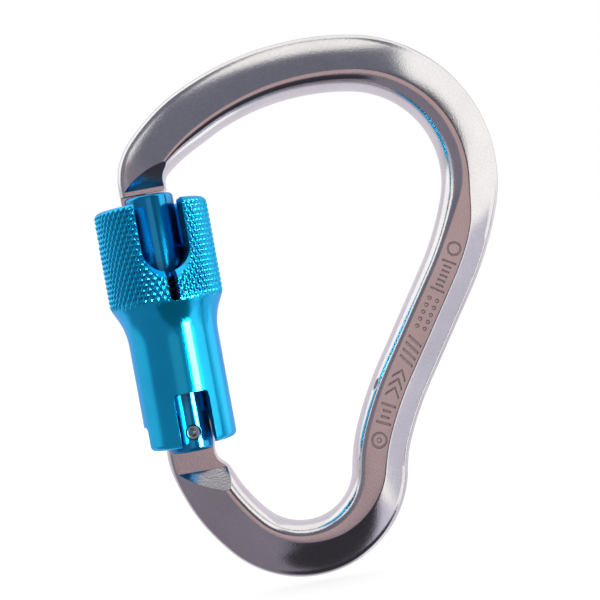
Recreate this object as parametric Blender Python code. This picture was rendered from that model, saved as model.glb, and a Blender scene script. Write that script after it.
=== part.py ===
"""Auto-locking pear-shaped carabiner: forged body, sprung gate, lift-and-twist sleeve.

All dimensions are millimetres and become metres where a mesh is made.
The gate's axis is Z, the body lies in the XZ plane and its front faces -Y.
Inside the functions x = 0 is the gate's axis and z = 0 is the hinge pin.
"""

import math

import bpy
import bmesh
from mathutils import Matrix

MM = 0.001
CENTRE = (-29.2, 0.0, -20.1)  # moves the whole object's box centre to the origin

# Body: a swept section on a centreline of tangent arcs
BODY_START = (-0.34, -2.4)
BODY_HEADING = -90.0
BODY_ARCS = (
    (0.0, 1.5),
    (12.0, 16.2),
    (39.0, 24.5),
    (16.0, 129.2),
    (-30.0, 14.0),
    (-75.0, 10.0),
    (0.0, 19.7),
    (65.0, 14.2),
    (24.0, 99.0),
    (52.0, 38.6),
    (36.0, 17.6),
    (7.4, 44.6),
    (0.0, 9.0),
)
STATION_STEP = 2.3
CREST_HALF = 5.3
RIM_HALF = 2.15
RIM_DEPTH = 1.35
BEVEL_BULGE = 0.35  # the crown of a bevel this wide, less on a narrower one
BULGE_WIDTH = 7.1
LAND_HALF = 1.0
# Half widths outside and inside the centreline: (distance along, outside, inside)
EDGES = (
    (0.0, 5.1, 4.6),
    (5.2, 5.3, 4.5),
    (7.8, 5.4, 5.6),
    (13.5, 5.6, 5.6),
    (20.0, 5.6, 5.6),
    (185.0, 5.6, 5.6),
    (192.0, 5.6, 5.6),
    (206.0, 5.25, 4.2),
    (217.0, 5.25, 4.2),
)
# Where the flat crest lies across the section: (distance along, outer edge, inner edge)
CREST = (
    (0.0, 2.4, 3.1),
    (12.0, 2.6, 3.2),
    (26.0, 2.5, 3.1),
    (36.0, 1.9, 3.1),
    (42.0, 1.2, 3.0),
    (50.0, 0.2, 3.1),
    (57.0, -0.75, 3.2),
    (62.0, -1.0, 3.2),
    (103.0, -1.05, 3.15),
    (110.0, -0.65, 2.7),
    (116.0, 0.6, 1.9),
    (122.0, 0.95, 1.5),
    (130.0, 1.2, 1.7),
    (150.0, 1.9, 2.4),
    (170.0, 2.5, 3.0),
    (190.0, 3.0, 3.4),
    (217.0, 3.0, 3.4),
)

# Milled ends
TANG_HALF = 2.2
BLANK_HALF = 2.35
MILL_SLOPE = 0.72
TANG_SHOULDER_Z = -8.0
NOSE_SHOULDER_Z = 49.0
NOSE_UNDERSIDE_Z = 48.1
NOSE_OUTER_X = -5.6
NOSE_INNER_X = -0.3
KEY_TIP_X = 2.4
KEY_TIP_Z = 41.8
KEY_NECK_Z = 44.6
KEY_NECK_HALF = 1.3

# Hinge
PIN_X = 0.9
PIN_R = 1.4
PIN_HALF = 4.95
PIN_HOLLOW_R = 0.75
PIN_HOLLOW_DEPTH = 1.4
CHEEK_BORE_R = 1.5
TANG_BORE_R = 1.6
CAM_LOW = 4.0
CAM_HIGH = 5.5

# Gate
GATE_R = 4.9
GATE_BOTTOM_Z = -3.8
GATE_TOP_Z = 47.7
FORK_HALF = 2.5
FORK_TOP_Z = 7.0
SPRING_BORE_R = 2.5
SPRING_BORE_TOP_Z = 30.0
KEYWAY_FLOOR_Z = 41.1
KEYWAY_LIP_Z = 45.2
KEYWAY_NECK_HALF = 1.6
KEYWAY_END_X = 3.4
GROOVE_R = 4.3
GROOVE_Z = (29.0, 30.2)

# Plunger and its spring
PLUNGER_TIP_Z = 4.85
PLUNGER_TIP_R = 1.2
PLUNGER_R = 2.2
PLUNGER_BODY_Z = (7.6, 11.4)
GATE_SPRING_Z = (11.7, 29.7)
GATE_SPRING_R = 1.72
GATE_SPRING_WIRE = 0.33

# Sleeve
SLEEVE_BOTTOM_Z = -2.4
SLEEVE_TOP_Z = 45.7
SLEEVE_R = 9.0
GRIP_R = 11.4
SLEEVE_BORE_R = 5.25
END_BORE_R = 6.2
CHAMBER_R = 7.3
CHAMBER_Z = (10.0, 31.0)
LOW_BORE_Z = 3.6
TOP_BORE_Z = 37.2
LOCK_AZIMUTH = 15.0
SLOT_WIDTH = 9.4
SLOT_BOTTOM_Z = 31.8
SLIT_WIDTH = 2.1
SLIT_BOTTOM_Z = 26.0
WINDOW_WIDTH = 7.0
WINDOW_TOP_Z = 8.0
SHORT_CUT_AZIMUTH = -84.0
SHORT_CUT_TOP_Z = 2.4
RELIEF_HALF = 2.6
RELIEF_BOTTOM_Z = 39.5

# Sleeve spring stack
WASHER_Z = (10.3, 11.1)
WASHER_R = (5.25, 7.0)
SLEEVE_SPRING_Z = (11.4, 27.7)
SLEEVE_SPRING_R = 6.2
SLEEVE_SPRING_WIRE = 0.45
SEAT_Z = (28.0, 28.7)
SEAT_R = (5.2, 6.9)
RING_Z = (29.2, 29.95)
RING_R = (4.6, 6.4)


def clear_scene():
    for obj in list(bpy.data.objects):
        bpy.data.objects.remove(obj, do_unlink=True)


def material(name, colour, metallic, roughness):
    mat = bpy.data.materials.new(name)
    mat.use_nodes = True
    shader = mat.node_tree.nodes["Principled BSDF"]
    shader.inputs["Base Color"].default_value = (*colour, 1.0)
    shader.inputs["Metallic"].default_value = metallic
    shader.inputs["Roughness"].default_value = roughness
    return mat


def make(name, points, faces, mat=None, origin=(0.0, 0.0, 0.0)):
    """An object from points in millimetres, with its origin at the given point."""
    mesh = bpy.data.meshes.new(name)
    local = [tuple((p[i] - origin[i]) * MM for i in range(3)) for p in points]
    mesh.from_pydata(local, [], faces)
    bm = bmesh.new()
    bm.from_mesh(mesh)
    bmesh.ops.recalc_face_normals(bm, faces=bm.faces)
    bm.to_mesh(mesh)
    bm.free()
    obj = bpy.data.objects.new(name, mesh)
    obj.location = tuple((origin[i] + CENTRE[i]) * MM for i in range(3))
    bpy.context.scene.collection.objects.link(obj)
    if mat:
        mesh.materials.append(mat)
    return obj


def helper(obj):
    obj.hide_render = True
    obj.display_type = "WIRE"
    return obj


def boolean(obj, other, operation):
    mod = obj.modifiers.new(other.name, "BOOLEAN")
    mod.operation = operation
    mod.solver = "EXACT"
    mod.object = helper(other)


def cut(obj, *others):
    for other in others:
        boolean(obj, other, "DIFFERENCE")


def join(obj, *others):
    for other in others:
        boolean(obj, other, "UNION")


def smooth(obj, angle=35):
    for poly in obj.data.polygons:
        poly.use_smooth = True
    obj.data.set_sharp_from_angle(angle=math.radians(angle))


def prism(name, outline, low, high, axis="Y"):
    """A flat outline pushed from low to high along an axis. Y takes (x, z), X takes (y, z)."""
    count = len(outline)
    points = []
    for level in (low, high):
        for a, b in outline:
            points.append((a, level, b) if axis == "Y" else (level, a, b))
    faces = [tuple(range(count)), tuple(range(2 * count - 1, count - 1, -1))]
    for i in range(count):
        j = (i + 1) % count
        faces.append((i, j, count + j, count + i))
    return make(name, points, faces)


def box(name, x, y, z):
    outline = ((x[0], z[0]), (x[1], z[0]), (x[1], z[1]), (x[0], z[1]))
    return prism(name, outline, y[0], y[1])


def ring_faces(rows, count, closed_rows):
    faces = []
    last = rows if closed_rows else rows - 1
    for i in range(last):
        k = (i + 1) % rows
        for j in range(count):
            m = (j + 1) % count
            faces.append((i * count + j, i * count + m, k * count + m, k * count + j))
    return faces


def turned(name, profile, segments, mat=None, axis="Z", centre=(0.0, 0.0, 0.0)):
    """A closed (radius, height) profile turned round an axis. Radius 0 is allowed at its ends."""
    solid = profile[0][0] == 0.0
    rows = profile[1:-1] if solid else profile
    points = []
    for r, h in rows:
        for j in range(segments):
            a = 2 * math.pi * (j + 0.5) / segments
            points.append((r * math.cos(a), r * math.sin(a), h))
    faces = ring_faces(len(rows), segments, not solid)
    if solid:
        for end, first in ((profile[0], 0), (profile[-1], (len(rows) - 1) * segments)):
            tip = len(points)
            points.append((0.0, 0.0, end[1]))
            for j in range(segments):
                faces.append((tip, first + j, first + (j + 1) % segments))
    if axis == "Y":
        points = [(x, h, y) for x, y, h in points]
    points = [tuple(p[i] + centre[i] for i in range(3)) for p in points]
    obj = make(name, points, faces, mat, centre)
    smooth(obj)
    return obj


def arc(centre, radius, first, last, steps):
    found = []
    for i in range(steps + 1):
        a = math.radians(first + (last - first) * i / steps)
        found.append((centre[0] + radius * math.cos(a), centre[1] + radius * math.sin(a)))
    return found


def coil(name, radius, wire, low, high, turns, mat):
    """An open-ended helical spring round the Z axis."""
    steps = 16
    sides = 6
    total = int(turns * steps)
    points = []
    for i in range(total + 1):
        a = 2 * math.pi * i / steps
        z = low + wire + (high - low - 2 * wire) * i / total
        for j in range(sides):
            b = 2 * math.pi * j / sides
            r = radius + wire * math.cos(b)
            points.append((r * math.cos(a), r * math.sin(a), z + wire * math.sin(b)))
    faces = ring_faces(total + 1, sides, False)
    faces.append(tuple(range(sides)))
    faces.append(tuple(total * sides + j for j in range(sides)))
    obj = make(name, points, faces, mat)
    smooth(obj, 50)
    return obj


def body_length():
    total = 0.0
    for radius, size in BODY_ARCS:
        total += abs(radius) * math.radians(size) if radius else size
    return total


def body_point(distance):
    """The centreline's x, z and heading at a distance from its start."""
    x, z = BODY_START
    heading = math.radians(BODY_HEADING)
    for radius, size in BODY_ARCS:
        length = abs(radius) * math.radians(size) if radius else size
        run = min(distance, length)
        if radius:
            turn = run / radius
            x += radius * (math.sin(heading + turn) - math.sin(heading))
            z -= radius * (math.cos(heading + turn) - math.cos(heading))
            heading += turn
        else:
            x += run * math.cos(heading)
            z += run * math.sin(heading)
        distance -= run
        if distance <= 1e-9:
            break
    return x, z, heading


def table_at(table, distance):
    """The two values of a table at a distance, on a smooth curve through its rows."""
    for k in range(len(table) - 1):
        if distance <= table[k + 1][0]:
            break
    rows = [table[max(0, k - 1)], table[k], table[k + 1], table[min(len(table) - 1, k + 2)]]
    span = rows[2][0] - rows[1][0]
    t = min(1.0, (distance - rows[1][0]) / span)
    found = []
    for i in (1, 2):
        first = (rows[2][i] - rows[0][i]) / (rows[2][0] - rows[0][0]) * span
        second = (rows[3][i] - rows[1][i]) / (rows[3][0] - rows[1][0]) * span
        jump = rows[2][i] - rows[1][i]
        bend = (3 * jump - 2 * first - second) * t * t
        found.append(rows[1][i] + first * t + bend + (first + second - 2 * jump) * t ** 3)
    return found


def section(distance):
    """Points (across, half thickness) of the front half, from the outer rim to the inner land."""
    outside, inside = table_at(EDGES, distance)
    outer, inner = table_at(CREST, distance)
    points = []
    for angle in (27, 54, 80):
        a = math.radians(angle)
        points.append((-outside + RIM_DEPTH * (1 - math.cos(a)), RIM_HALF * math.sin(a)))
    start, low = points[-1]
    width = outer - start
    bulge = BEVEL_BULGE * (width / BULGE_WIDTH) ** 2.5
    for share in (0.25, 0.5, 0.75):
        height = low + share * (CREST_HALF - low) + bulge * 4 * share * (1 - share)
        points.append((start + share * width, height))
    points.append((outer, CREST_HALF))
    for i in range(5):
        a = math.radians(22.5 * i)
        across = inner + (inside - inner) * math.sin(a)
        points.append((across, LAND_HALF + (CREST_HALF - LAND_HALF) * math.cos(a)))
    return points


def body_sweep(mat):
    length = body_length()
    count = int(round(length / STATION_STEP))
    points = []
    for i in range(count + 1):
        distance = length * i / count
        x, z, heading = body_point(distance)
        front = section(distance)
        rim = (-table_at(EDGES, distance)[0], 0.0)
        ring = [rim] + front + [(n, -h) for n, h in reversed(front)]
        for n, h in ring:
            points.append((x - n * math.sin(heading), -h, z + n * math.cos(heading)))
    size = len(ring)
    faces = ring_faces(count + 1, size, False)
    faces.append(tuple(range(size)))
    faces.append(tuple(count * size + j for j in range(size)))
    return make("body_frame", points, faces, mat)


def knuckle_point(angle):
    """The tang's round end, with the rising cam that lifts the plunger."""
    stops = ((0, 3.5), (45, 4.1), (62, 5.0), (75, CAM_HIGH), (105, CAM_LOW), (180, 5.2))
    for first, second in zip(stops, stops[1:]):
        if angle <= second[0]:
            t = (angle - first[0]) / (second[0] - first[0])
            r = first[1] + t * (second[1] - first[1])
            break
    a = math.radians(angle)
    return PIN_X + r * math.cos(a), r * math.sin(a)


def tang_block():
    """The round hinge end of the tang, above where the sweep starts."""
    outline = [(-4.2, -4.4), (4.0, -4.4), (4.1, -3.6), (4.3, -2.2)]
    outline += [knuckle_point(angle) for angle in range(0, 181, 5)]
    outline += [(-4.7, -2.0), (-4.8, -3.0)]
    return prism("tang_block", outline, -BLANK_HALF, BLANK_HALF)


def nose_cut():
    """Everything round the nose's neck and key, seen from the front."""
    top = NOSE_UNDERSIDE_Z
    tip = KEY_TIP_Z
    outer = NOSE_OUTER_X
    outline = [(9.0, top + 1.0), (9.0, 36.0), (-9.0, 36.0), (-9.0, tip + 1.5)]
    outline += arc((outer + 1.5, tip + 1.5), 1.5, 180, 270, 5)
    outline += arc((KEY_TIP_X - 1.3, tip + 1.3), 1.3, 270, 400, 6)
    outline += [(NOSE_INNER_X + 0.9, KEY_NECK_Z + 0.3), (NOSE_INNER_X, KEY_NECK_Z + 1.4)]
    outline += [(NOSE_INNER_X, top), (3.0, top), (3.65, top + 0.3), (4.0, top + 1.0)]
    return prism("nose_cut", outline, -8.0, 8.0)


def end_milling(name, side):
    """Flats on the tang and the nose, each running out up a slope, on one side of the body."""
    deep = CREST_HALF + 1.2
    run = (deep - TANG_HALF) / MILL_SLOPE
    low = TANG_SHOULDER_Z
    high = NOSE_SHOULDER_Z
    outline = [
        (side * TANG_HALF, low),
        (side * TANG_HALF, high),
        (side * deep, high + run),
        (side * deep, low - run),
    ]
    return prism(name, outline, -9.0, 9.0, "X")


def key_groove(name, side):
    """The waist above the key, which the gate's lips close round."""
    outline = [
        (side * KEY_NECK_HALF, KEY_NECK_Z + 0.5),
        (side * KEY_NECK_HALF, NOSE_UNDERSIDE_Z),
        (side * 4.5, NOSE_UNDERSIDE_Z),
        (side * 4.5, KEY_NECK_Z),
        (side * 2.0, KEY_NECK_Z),
    ]
    return prism(name, outline, -9.0, 9.0, "X")


def make_body(mat):
    body = body_sweep(mat)
    cut(body, nose_cut())
    join(body, tang_block())
    cut(body, end_milling("front_flats", -1), end_milling("back_flats", 1))
    cut(body, key_groove("front_groove", -1), key_groove("back_groove", 1))
    bore = ((0.0, -6.0), (TANG_BORE_R, -6.0), (TANG_BORE_R, 6.0), (0.0, 6.0))
    cut(body, turned("tang_bore", bore, 24, None, "Y", (PIN_X, 0.0, 0.0)))
    smooth(body, 24)
    return body


def make_gate(mat):
    profile = [(0.0, GATE_BOTTOM_Z), (GATE_R - 0.6, GATE_BOTTOM_Z)]
    profile += arc((GATE_R - 0.6, GATE_BOTTOM_Z + 0.6), 0.6, -60, 0, 2)
    profile += [(GATE_R, GROOVE_Z[0]), (GROOVE_R, GROOVE_Z[0])]
    profile += [(GROOVE_R, GROOVE_Z[1]), (GATE_R, GROOVE_Z[1])]
    profile += arc((GATE_R - 0.7, GATE_TOP_Z - 0.7), 0.7, 0, 90, 3)
    profile += [(0.0, GATE_TOP_Z)]
    gate = turned("gate_barrel", profile, 40, mat)
    fork = box("fork_slot", (-7, 7), (-FORK_HALF, FORK_HALF), (-6, FORK_TOP_Z))
    top = SPRING_BORE_TOP_Z
    bore = ((0.0, 5.0), (SPRING_BORE_R, 5.0), (SPRING_BORE_R, top), (0.0, top + 1.2))
    spring_bore = turned("spring_bore", bore, 24)
    end = KEYWAY_END_X
    chamber = box("key_chamber", (-7, end), (-2.55, 2.55), (KEYWAY_FLOOR_Z, KEYWAY_LIP_Z))
    half = KEYWAY_NECK_HALF
    throat = box("key_throat", (-7, end - 1.0), (-half, half), (KEYWAY_LIP_Z - 1, 50))
    hole = ((0.0, -7.0), (CHEEK_BORE_R, -7.0), (CHEEK_BORE_R, 7.0), (0.0, 7.0))
    cheek_bore = turned("cheek_bore", hole, 24, None, "Y", (PIN_X, 0.0, 0.0))
    cut(gate, fork, spring_bore, chamber, throat, cheek_bore)
    return gate


def make_pin(mat):
    half = PIN_HALF
    floor = half - PIN_HOLLOW_DEPTH
    hollow = PIN_HOLLOW_R
    low = [(0.0, -floor), (hollow, -floor), (hollow, -half + 0.1), (hollow + 0.15, -half)]
    low += [(PIN_R - 0.2, -half), (PIN_R, -half + 0.25)]
    high = [(r, -h) for r, h in reversed(low)]
    return turned("hinge_pin", low + high, 24, mat, "Y", (PIN_X, 0.0, 0.0))


def make_plunger(mat):
    tip = PLUNGER_TIP_Z
    low, high = PLUNGER_BODY_Z
    profile = [(0.0, tip)]
    for angle in (-60, -30, 0):
        a = math.radians(angle)
        r = PLUNGER_TIP_R * math.cos(a)
        profile.append((r, tip + PLUNGER_TIP_R + PLUNGER_TIP_R * math.sin(a)))
    profile += [(PLUNGER_TIP_R, low), (PLUNGER_R, low + 0.6)]
    profile += [(PLUNGER_R, high - 0.3), (PLUNGER_R - 0.3, high), (0.0, high)]
    return turned("gate_plunger", profile, 20, mat)


def window(name, azimuth, width, low, high, corner):
    """A cutter from the axis out through one wall, with rounded upper or lower corners."""
    half = width / 2
    outline = [(-half, low), (half, low)]
    outline += arc((half - corner, high - corner), corner, 0, 90, 5)
    outline += arc((corner - half, high - corner), corner, 90, 180, 5)
    cutter = prism(name, outline, -14.0, 0.0)
    cutter.data.transform(Matrix.Rotation(math.radians(azimuth), 4, "Z"))
    return cutter


def round_slot(name, azimuth, width, bottom, top):
    half = width / 2
    outline = arc((0.0, bottom + half), half, 180, 360, 12)
    outline += [(half, top), (-half, top)]
    cutter = prism(name, outline, -14.0, 0.0)
    cutter.data.transform(Matrix.Rotation(math.radians(azimuth), 4, "Z"))
    return cutter


def sleeve_profile():
    low = SLEEVE_BOTTOM_Z
    top = SLEEVE_TOP_Z
    outer = [(END_BORE_R + 0.5, low), (SLEEVE_R - 1.1, low)]
    outer += arc((SLEEVE_R - 1.1, low + 1.1), 1.1, -60, 0, 2)
    outer += [(SLEEVE_R, 19.2), (9.12, 20.6), (9.45, 22.2), (9.95, 23.6), (10.6, 25.0)]
    outer += [(11.05, 26.0), (11.3, 26.8), (GRIP_R, 27.8), (GRIP_R, top - 1.2)]
    outer += [(GRIP_R - 0.3, top - 0.55), (GRIP_R - 0.9, top - 0.1), (GRIP_R - 1.4, top)]
    inner = [(END_BORE_R + 0.3, top), (END_BORE_R, top - 0.3), (END_BORE_R, TOP_BORE_Z)]
    inner += [(SLEEVE_BORE_R, TOP_BORE_Z - 0.6), (SLEEVE_BORE_R, CHAMBER_Z[1])]
    inner += [(CHAMBER_R, CHAMBER_Z[1]), (CHAMBER_R, CHAMBER_Z[0])]
    inner += [(SLEEVE_BORE_R, CHAMBER_Z[0]), (SLEEVE_BORE_R, LOW_BORE_Z + 0.6)]
    inner += [(END_BORE_R, LOW_BORE_Z), (END_BORE_R, low + 0.5)]
    return outer + inner


def make_sleeve(mat):
    sleeve = turned("locking_sleeve", sleeve_profile(), 48, mat)
    lock = LOCK_AZIMUTH
    back = lock + 180
    low = SLEEVE_BOTTOM_Z - 1.0
    slot = round_slot("grip_slot", lock, SLOT_WIDTH, SLOT_BOTTOM_Z, SLEEVE_TOP_Z + 1)
    slit = round_slot("grip_slit", lock, SLIT_WIDTH, SLIT_BOTTOM_Z, SLOT_BOTTOM_Z + 3)
    front = window("front_window", lock, WINDOW_WIDTH, low, WINDOW_TOP_Z, 0.9)
    rear = window("rear_window", back, WINDOW_WIDTH, low, WINDOW_TOP_Z, 0.9)
    short = window("short_cut", SHORT_CUT_AZIMUTH, WINDOW_WIDTH, low, SHORT_CUT_TOP_Z, 0.9)
    half = RELIEF_HALF
    relief = box("relief_notch", (-14, -4), (-half, half), (RELIEF_BOTTOM_Z, 47))
    cut(sleeve, slot, slit, front, rear, short, relief)
    return sleeve


def washer(name, radii, heights, mat):
    low, high = heights
    inner, outer = radii
    profile = ((inner, low), (outer, low), (outer, high), (inner, high))
    return turned(name, profile, 40, mat)


def make_ring(mat):
    ring = washer("retaining_ring", RING_R, RING_Z, mat)
    cut(ring, box("ring_gap", (0, 9), (-1.6, 1.6), (RING_Z[0] - 1, RING_Z[1] + 1)))
    return ring


def main():
    clear_scene()
    aluminium = material("polished_aluminium", (0.74, 0.72, 0.72), 1.0, 0.16)
    blue = material("blue_anodised", (0.0, 0.24, 0.55), 1.0, 0.22)
    gate_blue = material("blue_anodised_gate", (0.0, 0.2, 0.5), 1.0, 0.15)
    steel = material("polished_steel", (0.62, 0.6, 0.58), 1.0, 0.2)
    spring = material("spring_steel", (0.06, 0.06, 0.065), 1.0, 0.35)
    make_body(aluminium)
    make_gate(gate_blue)
    make_pin(steel)
    make_plunger(steel)
    low, high = GATE_SPRING_Z
    coil("gate_spring", GATE_SPRING_R, GATE_SPRING_WIRE, low, high, 11, spring)
    make_sleeve(blue)
    washer("thrust_washer", WASHER_R, WASHER_Z, steel)
    low, high = SLEEVE_SPRING_Z
    coil("sleeve_spring", SLEEVE_SPRING_R, SLEEVE_SPRING_WIRE, low, high, 7, spring)
    washer("spring_seat", SEAT_R, SEAT_Z, spring)
    make_ring(spring)


main()
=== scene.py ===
"""Looks for the auto-locking carabiner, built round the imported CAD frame.

Lengths inside the functions are millimetres in the gate's own coordinates:
x = 0 is the gate's axis, z = 0 is the hinge pin, and the front faces -Y.
"""

import math

import bpy
import bmesh
import numpy as np
from mathutils import Matrix, Vector


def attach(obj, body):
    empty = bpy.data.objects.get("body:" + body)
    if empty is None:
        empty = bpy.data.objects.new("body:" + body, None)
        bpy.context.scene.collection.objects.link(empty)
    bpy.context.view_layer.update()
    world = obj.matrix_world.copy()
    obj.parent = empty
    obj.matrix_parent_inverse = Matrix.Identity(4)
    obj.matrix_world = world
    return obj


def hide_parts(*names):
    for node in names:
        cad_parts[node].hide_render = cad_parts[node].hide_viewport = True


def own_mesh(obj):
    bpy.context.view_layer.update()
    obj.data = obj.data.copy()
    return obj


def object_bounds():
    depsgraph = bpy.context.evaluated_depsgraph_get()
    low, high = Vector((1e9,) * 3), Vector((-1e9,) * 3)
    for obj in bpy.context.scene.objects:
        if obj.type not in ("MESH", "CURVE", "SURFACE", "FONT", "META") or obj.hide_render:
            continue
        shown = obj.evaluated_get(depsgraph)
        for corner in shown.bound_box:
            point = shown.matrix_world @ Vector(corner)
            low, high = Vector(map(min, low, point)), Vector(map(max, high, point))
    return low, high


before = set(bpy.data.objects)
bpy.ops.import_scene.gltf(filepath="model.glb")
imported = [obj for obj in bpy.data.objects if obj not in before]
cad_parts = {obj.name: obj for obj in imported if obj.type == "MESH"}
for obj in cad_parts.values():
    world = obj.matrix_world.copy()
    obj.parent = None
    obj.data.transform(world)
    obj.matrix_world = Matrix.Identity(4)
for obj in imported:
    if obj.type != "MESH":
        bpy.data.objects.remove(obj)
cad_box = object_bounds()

MM = 0.001
CENTRE = (-29.2, 0.0, -20.1)
ROLL = math.radians(10.4)  # the camera is turned this much about its line of sight

# Body centreline, as in the CAD: arcs of (radius, degrees), or (0, length) for a straight
BODY_START = (-0.34, -2.4)
BODY_HEADING = -90.0
BODY_ARCS = (
    (0.0, 1.5),
    (12.0, 16.2),
    (39.0, 24.5),
    (16.0, 129.2),
    (-30.0, 14.0),
    (-75.0, 10.0),
    (0.0, 19.7),
    (65.0, 14.2),
    (24.0, 99.0),
    (52.0, 38.6),
    (36.0, 17.6),
    (7.4, 44.6),
    (0.0, 9.0),
)
STATION_STEP = 0.6

# Body section: EDGES are rows of distance along, outer edge and inner edge. CREST are rows
# of distance along, and where the flat crest starts and ends.
CREST_HALF = 5.3
RIM_HALF = 2.15
RIM_DEPTH = 1.35
EDGES = (
    (0.0, 5.1, 4.6),
    (5.2, 5.3, 4.5),
    (7.8, 5.4, 5.6),
    (13.5, 5.6, 5.6),
    (20.0, 5.6, 5.6),
    (185.0, 5.6, 5.6),
    (192.0, 5.6, 5.6),
    (206.0, 5.25, 4.2),
    (217.0, 5.25, 4.2),
)
CREST = (
    (0.0, 2.4, 3.1),
    (12.0, 2.6, 3.2),
    (26.0, 2.5, 3.1),
    (36.0, 1.9, 3.1),
    (42.0, 1.2, 3.0),
    (50.0, 0.2, 3.1),
    (57.0, -0.75, 3.2),
    (62.0, -1.0, 3.2),
    (103.0, -1.05, 3.15),
    (110.0, -0.65, 2.7),
    (116.0, 0.6, 1.9),
    (122.0, 0.95, 1.5),
    (130.0, 1.2, 1.7),
    (150.0, 1.9, 2.4),
    (170.0, 2.5, 3.0),
    (190.0, 3.0, 3.4),
    (217.0, 3.0, 3.4),
)
RIM_ANGLES = range(8, 81, 9)
WIDE_BEVEL = 7.1
BEVEL_CROWN = 0.35
BEVEL_STEPS = 10
CREST_EASE = 0.18
EASE_STEPS = 4
INNER_ANGLES = [5.8 * i for i in range(16)]

# The body's two milled ends
BLANK_HALF = 2.35
TANG_HALF = 2.2
TANG_HEEL = [(-4.2, -4.4), (4.0, -4.4), (4.1, -3.6), (4.3, -2.2)]
TANG_BACK = [(-4.7, -2.0), (-4.8, -3.0)]
CAM_STOPS = ((0, 3.5), (45, 4.1), (62, 5.0), (75, 5.5), (105, 4.0), (180, 5.2))
TANG_BORE_R = 1.6
MILL_SLOPE = 0.72
MILL_CLEAR = 1.2
TANG_SHOULDER_Z = -8.0
NOSE_SHOULDER_Z = 49.0
NOSE_UNDERSIDE_Z = 48.1
NOSE_OUTER_X = -5.6
NOSE_INNER_X = -0.3
KEY_TIP_X = 2.4
KEY_TIP_Z = 41.8
KEY_NECK_Z = 44.6
KEY_NECK_HALF = 1.3
KEY_HEEL_R = 1.5
KEY_TIP_R = 1.3
UNDERSIDE_END_X = 3.0
UNDERSIDE_R = 1.0
GROOVE_CHAMFER = 0.5
GROOVE_SHELF_HALF = 2.0
GROOVE_REACH = 4.5
CUT_LOW_Z = 36.0
CUT_REACH = 9.0
CUT_HALF = 8.0

# Marks on the spine: sizes along and across the panel
PANEL_MIDDLE = 1.08
MARK_DEPTH = 0.28
MARK_STEP = 0.5
DIMPLE_AT = (73.5, 4.85, 4.3)
DIMPLE_R = 0.7
DIMPLE_STRETCH = 1.1

# Hinge rivet
PIN_X = 0.9
PIN_R = 1.4
PIN_HALF = 4.95
PIN_HOLLOW = 1.4
ROLL_R = 0.31
ROLL_CENTRE_R = 1.09

# Gate tube
GATE_R = 4.9
GATE_BOTTOM_Z = -3.8
GATE_TOP_Z = 47.7
GATE_BOTTOM_ROUND = 0.8
GATE_TOP_ROUND = 0.75
RING_GROOVE = (29.0, 30.2)
RING_GROOVE_R = 4.3
SPRING_BORE_R = 2.5
CHEEK_BORE_R = 1.5
GATE_CUT = 7

# Plunger and springs: a coil is radius, wire radius, low, high and turns.
PLUNGER_TIP_Z = 4.85
PLUNGER_NOSE_R = 1.2
GATE_COIL = (1.72, 0.33, 11.7, 29.7, 11)
SLEEVE_COIL = (6.2, 0.45, 11.4, 27.7, 7)
COIL_STEPS = 40
WIRE_SIDES = 14
END_TURNS = 0.9
END_PITCH = 0.28

# Sleeve: GRIP_SLOT is width and bottom, GRIP_SLIT width, bottom and top, WINDOW width and top
SLEEVE_BOTTOM_Z = -2.4
SLEEVE_TOP_Z = 45.7
SLEEVE_R = 9.0
FOOT_ROUND = 1.1
BARREL_ROWS = (2.0, 5.0, 8.0, 11.0, 14.0, 17.0)
FLARE = [
    (9.0, 18.6),
    (9.03, 19.6),
    (9.2, 21.0),
    (9.58, 22.6),
    (10.2, 24.2),
    (10.85, 25.5),
    (11.25, 26.5),
    (11.45, 27.4),
]
FLARE_STEP = 0.28
GRIP_R = 11.4
GRIP_LOW = 27.6
GRIP_ROUND = 1.5
SPRING_ROOM = (10.0, 31.0)
SPRING_ROOM_R = 7.3
SLEEVE_BORE_R = 5.25
END_BORE_R = 6.2
LOCK_AZIMUTH = 15.0
GRIP_SLOT = (9.4, 31.8)
SLOT_EDGE_R = 9.8
GRIP_SLIT = (2.1, 26.0, 34.8)
WINDOW = (7.0, 8.0)
WINDOW_CORNER = 0.9
OUTER_CUT_TOP = 2.4
OUTER_CUT_AZIMUTH = -84.0
WALL_REACH = 14.0

# Knurl on the grip
KNURL_STARTS = 54
KNURL_PITCH = 2.0
KNURL_DEPTH = 0.4
KNURL_FLANK = 1.45
KNURL_LOW = 25.2
KNURL_INSIDE_R = 10.6

# Meshes, in metres
MERGE = 2e-6
COLLAPSE = 1e-6

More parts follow.
